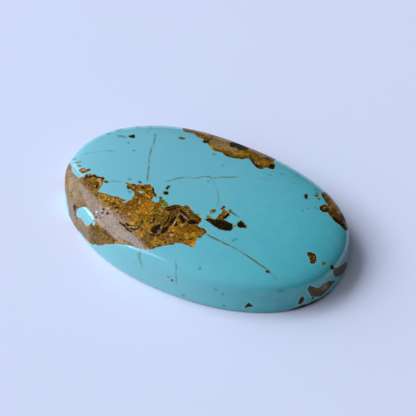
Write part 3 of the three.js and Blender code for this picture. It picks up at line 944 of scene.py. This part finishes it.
# ---- where the colours change, mm
BODY_ACROSS = (-16.0, 24.0)  # from the left colour to the right one, over these x: partly the stone's own tone, partly painted light fading away from the windows
LOW_DOWN = (5.4, 3.2)  # to the low colours, painted light and painted shade on the walls, over these heights
LOW_PAINTED_LIGHT_ON_LEFT = (12.0, -2.0)  # the x over which each low colour comes in: the painted light on the left, the painted shade on the right
LOW_PAINTED_SHADE_ON_RIGHT = (9.0, 18.0)
RAGGED = {"matrix": 0.24, "dark": 0.2, "pit": 0.16, "cloud": 0.2, "green": 0.2}
VEIN_WANDER = 0.24
VEIN_EDGE = (0.04, 0.19)  # a vein fades out between these distances from its middle
EDGE = (-0.03, 0.04)  # a marking comes in as its depth goes from one to the other
BACK_BELOW = (0.02, 0.2)  # the ground back gives way to the polish at these heights

# ---- the stone's finish
CRUMBLY_POLISH = 0.3  # how much of the polish the crumbly brown matrix takes
FIRM_POLISH = 0.6  # and the firmer grey part
POLISH_ROUGHNESS = 0.08
TURQUOISE_ROUGHNESS = 0.08
MATRIX_ROUGHNESS = 0.35
DARK_ROUGHER = 0.05
PIT_ROUGHNESS = 0.2
BACK_ROUGHNESS = 0.5
STONE_IOR = 1.5
STONE_SPECULAR = 0.05  # most of the gloss is the polish, which is the shader's coat
MATRIX_GRAIN_SHARE = 0.25  # of the height of the back's grain
GRAIN_HEIGHT = 0.01  # mm


def turquoise_colour(graph):
    drift = graph.noise(9.0, detail=3, seed=1)
    from_left = graph.add(graph.axis("X"), graph.math("MULTIPLY_ADD", drift, 6.0, -3.0))
    # The body colour grows darker and less red towards +X: partly the stone's own tone, partly
    # painted light from the windows on the -X side.
    body = graph.mix(graph.step(from_left, *BODY_ACROSS), TURQUOISE_LEFT, TURQUOISE_RIGHT)
    # Painted light low on the wall that faces the windows, and painted shade low on the +X wall
    # away from them.
    low = graph.step(graph.axis("Z"), *LOW_DOWN, 0.0, 0.9)
    left_low_painted_light = graph.times(low, graph.step(from_left, *LOW_PAINTED_LIGHT_ON_LEFT))
    body = graph.mix(left_low_painted_light, body, TURQUOISE_LOW_PAINTED_LIGHT)
    # Painted shade low on the +X wall.
    right_low_painted_shade = graph.times(low, graph.step(from_left, *LOW_PAINTED_SHADE_ON_RIGHT, 0.0, 0.75))
    body = graph.mix(right_low_painted_shade, body, TURQUOISE_LOW_RIGHT_PAINTED_SHADE)
    mottle = graph.noise(1.3, detail=5, roughness=0.65, seed=2)
    body = graph.mix(graph.step(mottle, 0.4, 0.72, 0.0, 0.28), body, TURQUOISE_LIGHT)
    speckle = graph.noise(0.3, detail=2, seed=14)
    return graph.mix(graph.step(speckle, 0.6, 0.8, 0.0, 0.25), body, CLOUD)


def matrix_colour(graph):
    """Iron oxide: golden crumbs in dark brown, tinted in broad patches."""
    swirl = graph.noise(1.2, detail=4, roughness=0.6, distortion=0.8, seed=3)
    colour = graph.mix(graph.step(swirl, 0.4, 0.6), MATRIX_BROWN, MATRIX_GOLD)
    tints = (
        ("deep", MATRIX_DEEP, 0.25, 0.72),
        ("orange", MATRIX_ORANGE, 0.3, 0.7),
        ("olive", MATRIX_OLIVE, 0.3, 0.7),
        ("grey", MATRIX_GREY_AND_REFLECTION, 0.3, 0.92),
        ("wall_grey", MATRIX_WALL_AND_SHADE, 0.3, 0.85),
        ("tan", MATRIX_TAN, 0.3, 0.8),
        ("russet", MATRIX_RUSSET, 0.3, 0.9),
    )
    wander = graph.noise(0.8, detail=3, seed=8)
    shift = graph.math("MULTIPLY_ADD", wander, 0.9, -0.45)
    for name, tint, soft, share in tints:
        depth = graph.add(graph.field(name), shift)
        colour = graph.mix(graph.step(depth, -soft, soft, 0.0, share), colour, tint)
    crumbs = graph.noise(0.31, detail=3, roughness=0.75, distortion=0.5, seed=6)
    # The grain is plainer in these tints; over the windows' band this partly paints their
    # washed-out reflection.
    even = graph.field("grey")
    for name in ("wall_grey", "tan", "russet"):
        even = graph.math("MAXIMUM", even, graph.field(name))
    plain = graph.step(even, -0.3, 0.5)
    darkest = graph.math("MULTIPLY_ADD", plain, 0.36, 0.36)
    lightest = graph.math("MULTIPLY_ADD", plain, -0.3, 1.5)
    shade = graph.step(crumbs, 0.36, 0.64, darkest, lightest)
    colour = graph.mix(1.0, colour, shade, blend="MULTIPLY")
    grains = graph.noise(0.24, detail=1, seed=10)
    most_grain = graph.math("MULTIPLY_ADD", plain, -0.48, 0.6)
    colour = graph.mix(graph.step(grains, 0.6, 0.72, 0.0, most_grain), colour, MATRIX_GRAIN)
    worms = graph.noise(0.5, detail=2, roughness=0.6, distortion=1.4, seed=5)
    ridge = graph.math("ABSOLUTE", graph.add(worms, -0.5))
    veinlets = graph.step(ridge, 0.0, 0.05, 0.85, 0.0)
    patchy = graph.step(graph.noise(1.5, detail=2, seed=9), 0.4, 0.58)
    colour = graph.mix(graph.times(veinlets, patchy), colour, MATRIX_UMBER)
    pale = graph.add(graph.field("pale"), graph.math("MULTIPLY_ADD", crumbs, 0.3, -0.17))
    return graph.mix(graph.step(pale, -0.05, 0.05, 0.0, 0.6), colour, MATRIX_PALE)


def ragged(graph, name):
    """A marking's depth with its edge made ragged by noise."""
    amount = RAGGED[name]
    coarse = graph.noise(0.75, detail=2, seed=11)
    fine = graph.noise(0.26, detail=2, roughness=0.6, seed=12)
    wobble = graph.math("MULTIPLY_ADD", coarse, amount, -amount)
    wobble = graph.add(wobble, graph.times(fine, amount))
    return graph.add(graph.field(name), wobble)


def vein_share(graph, number):
    """How much of a vein group's hairline shows here."""
    wander = graph.noise(0.9, detail=3, seed=20 + number)
    offset = graph.math("MULTIPLY_ADD", wander, VEIN_WANDER, -VEIN_WANDER / 2)
    distance = graph.math("ABSOLUTE", graph.add(graph.field(f"vein_{number}"), offset))
    hairline = graph.step(distance, *VEIN_EDGE, 1.0, 0.0)
    broken = graph.step(graph.noise(1.0, detail=3, seed=30 + number), 0.36, 0.56, 0.3, 1.0)
    darkness = graph.times(graph.field(f"vein_{number}_darkness"), broken)
    return graph.times(hairline, darkness)


def stone_colour(graph, matrix_depth, dark_depth, in_matrix, in_dark, blackened):
    """The turquoise with its halo, clouds, veins and stains, and the matrix over it."""
    halo = graph.times(graph.step(matrix_depth, -0.35, -0.02), 0.3)
    colour = graph.mix(halo, turquoise_colour(graph), TURQUOISE_HALO)
    cloud = graph.step(ragged(graph, "cloud"), -0.1, 0.08, 0.0, 0.65)
    colour = graph.mix(cloud, colour, CLOUD)
    for number in range(len(VEIN_GROUPS)):
        colour = graph.mix(vein_share(graph, number), colour, VEIN)
    ring = graph.step(dark_depth, -0.2, -0.02, 0.0, 0.5)
    colour = graph.mix(ring, colour, RUST_RING)
    green = graph.step(ragged(graph, "green"), -0.12, 0.0)
    fresh = graph.step(graph.noise(0.4, detail=2, seed=16), 0.42, 0.6)
    colour = graph.mix(green, colour, graph.mix(fresh, GREEN_STAIN, GREEN_FRESH))
    colour = graph.mix(in_matrix, colour, matrix_colour(graph))
    colour = graph.mix(blackened, colour, NEARLY_BLACK)
    fleck = graph.step(graph.noise(0.22, detail=2, seed=15), 0.6, 0.7, 0.0, 0.7)
    return graph.mix(graph.times(in_dark, fleck), colour, MATRIX_GOLD)


def make_stone_material():
    material = bpy.data.materials.new("turquoise_with_matrix")
    graph = Graph(material)
    graph.place = graph.vector("MULTIPLY", "Object", (1 / MM,) * 3)[0]
    matrix_depth = ragged(graph, "matrix")
    in_matrix = graph.step(matrix_depth, *EDGE)
    dark_depth = ragged(graph, "dark")
    in_dark = graph.step(dark_depth, *EDGE)
    in_pit = graph.step(ragged(graph, "pit"), -0.03, 0.05)
    blackened = graph.math("MAXIMUM", in_dark, in_pit)
    on_back = graph.step(graph.axis("Z"), *BACK_BELOW, 1.0, 0.0)

    roughness = graph.step(matrix_depth, *EDGE, TURQUOISE_ROUGHNESS, MATRIX_ROUGHNESS)
    roughness = graph.add(roughness, graph.times(in_dark, DARK_ROUGHER))
    roughness = graph.math("MAXIMUM", roughness, graph.times(in_pit, PIT_ROUGHNESS))
    roughness = graph.math("MAXIMUM", roughness, graph.times(on_back, BACK_ROUGHNESS))

    firm = graph.math("MINIMUM", graph.field("grey"), graph.times(graph.field("russet"), -1.0))
    taken = graph.step(firm, -0.3, 0.5, CRUMBLY_POLISH, FIRM_POLISH)
    polish = graph.add(1.0, graph.times(in_matrix, graph.add(taken, -1.0)))
    unpolished = graph.math("MAXIMUM", blackened, on_back)
    polish = graph.math("MINIMUM", polish, graph.math("SUBTRACT", 1.0, unpolished))

    matrix_grain = graph.noise(0.3, detail=4, roughness=0.65, seed=40)
    matrix_grain = graph.times(matrix_grain, graph.times(in_matrix, MATRIX_GRAIN_SHARE))
    back_grain = graph.times(graph.noise(0.12, detail=4, roughness=0.7, seed=41), on_back)
    bump = graph.node("ShaderNodeBump")
    graph.put(bump.inputs["Height"], graph.add(matrix_grain, back_grain))
    graph.put(bump.inputs["Strength"], 1.0)
    graph.put(bump.inputs["Distance"], GRAIN_HEIGHT * MM)

    colour = stone_colour(graph, matrix_depth, dark_depth, in_matrix, in_dark, blackened)
    graph.surface({
        "Base Color": colour,
        "Roughness": roughness,
        "IOR": STONE_IOR,
        "Specular IOR Level": STONE_SPECULAR,
        "Coat Weight": polish,
        "Coat IOR": STONE_IOR,
        "Coat Roughness": POLISH_ROUGHNESS,
        "Normal": bump.outputs[0],
    })
    return material


# ---- the scene round it
FLOOR_TONE = (0.737, 0.766, 0.806, 1.0)
FLOOR_WIDTH = 4.0
FLOOR_GAP = 0.01  # mm, so that the floor and the stone's back don't share a plane
FLOOR_ROUGHNESS = 0.9
FLOOR_IOR = 1.1


def make_floor():
    half = FLOOR_WIDTH / 2
    z = -FLOOR_GAP * MM
    corners = [(-half, -half, z), (half, -half, z), (half, half, z), (-half, half, z)]
    mesh = bpy.data.meshes.new("floor")
    mesh.from_pydata(corners, [], [(0, 1, 2, 3)])
    floor = add_object("floor", mesh)
    material = bpy.data.materials.new("pale_floor")
    sockets = {"Base Color": FLOOR_TONE, "Roughness": FLOOR_ROUGHNESS, "IOR": FLOOR_IOR}
    Graph(material).surface(sockets)
    floor.data.materials.append(material)


def direction(azimuth, elevation):
    """The unit vector towards a place in the room, from angles in degrees."""
    turn, rise = math.radians(azimuth), math.radians(elevation)
    return Vector((
        math.cos(turn) * math.cos(rise), math.sin(turn) * math.cos(rise), math.sin(rise)
    ))


# The room's soft light as (azimuth, elevation) in degrees, the cosines between which it
# rises towards there, and its least and most strength.
ROOM_LIGHT = (
    (195, 30, 0.2, 0.9, 0.065, 0.29),  # all round, and brighter on the windows' side
    (172, 2, 0.8, 1.0, 0.0, 0.6),  # a glow beside them, low down
    (250, 40, 0.3, 1.0, 0.0, 0.45),  # a fill from the front
)
# The windows as a name, (azimuth, elevation, half width, half height) in degrees and the
# brightness.
WINDOWS = (
    ("low_pane_left", 200.5, 33, 7, 7.5, 9.6),
    ("low_pane_right", 219.5, 34.5, 13, 6, 5.8),
    ("middle_pane", 191, 45, 28, 5, 4.8),
    ("high_pane", 188, 56.5, 30, 6.5, 7.2),
    ("corner_pane", 231, 44, 5.5, 11.5, 3.4),
    ("side_window", 174, 19, 13, 19, 1.8),
    ("curtain_gap", 154.5, 25, 2, 14, 2.6),
    ("sill", 211, 12, 24, 12, 1.0),
)
WINDOW_DISTANCE = 2.0


def make_room():
    """The soft light of ROOM_LIGHT, added up in the world."""
    world = bpy.data.worlds.new("room")
    graph = Graph(world)
    strength = 0.0
    for azimuth, elevation, low_end, high_end, least, most in ROOM_LIGHT:
        towards = graph.vector("DOT_PRODUCT", "Generated", direction(azimuth, elevation))
        rise = graph.step(towards["Value"], low_end, high_end, least, most)
        strength = graph.add(strength, rise)
    background = graph.node("ShaderNodeBackground")
    graph.put(background.inputs["Color"], (*LIGHT_TINT, 1.0))
    graph.put(background.inputs["Strength"], strength)
    graph.put(graph.node("ShaderNodeOutputWorld").inputs["Surface"], background.outputs[0])
    bpy.context.scene.world = world


def make_window(name, azimuth, elevation, half_across, half_up, brightness):
    """A soft rectangular light that faces the stone."""
    width = 2 * WINDOW_DISTANCE * math.cos(math.radians(elevation))
    width = width * math.tan(math.radians(half_across))
    height = 2 * WINDOW_DISTANCE * math.tan(math.radians(half_up))
    light = bpy.data.lights.new(name, "AREA")
    light.shape = "RECTANGLE"
    light.size = width
    light.size_y = height
    light.color = LIGHT_TINT
    light.energy = brightness * math.pi * width * height
    lamp = add_object(name, light)
    lamp.location = direction(azimuth, elevation) * WINDOW_DISTANCE
    lamp.rotation_euler = (-lamp.location).to_track_quat("-Z", "Y").to_euler()
    lamp.visible_camera = False


CAMERA_AZIMUTH = 29.32  # 0 looks along +Y
CAMERA_ELEVATION = 48.0
CAMERA_DISTANCE = 0.2
AIM_RIGHT = 0.65 * MM
AIM_UP = 2.34 * MM
LENS = 130.67
CLIP_NEAR = 0.01
CLIP_FAR = 20.0


def make_camera():
    """The view from the front and the +X side, looking well down."""
    back = direction(CAMERA_AZIMUTH - 90, CAMERA_ELEVATION)
    right = direction(CAMERA_AZIMUTH, 0)
    aim = right * AIM_RIGHT + back.cross(right) * AIM_UP
    settings = bpy.data.cameras.new("camera")
    settings.lens = LENS
    settings.clip_start = CLIP_NEAR
    settings.clip_end = CLIP_FAR
    camera = add_object("camera", settings)
    camera.location = back * CAMERA_DISTANCE
    camera.rotation_euler = (aim - camera.location).to_track_quat("-Z", "Y").to_euler()
    bpy.context.scene.camera = camera


bpy.context.scene.view_settings.view_transform = "Standard"
make_camera()
make_room()
for window in WINDOWS:
    make_window(*window)
make_floor()

stone = make_stone()
stone.data.materials.append(make_stone_material())
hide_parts("cabochon")
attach(stone, "root")
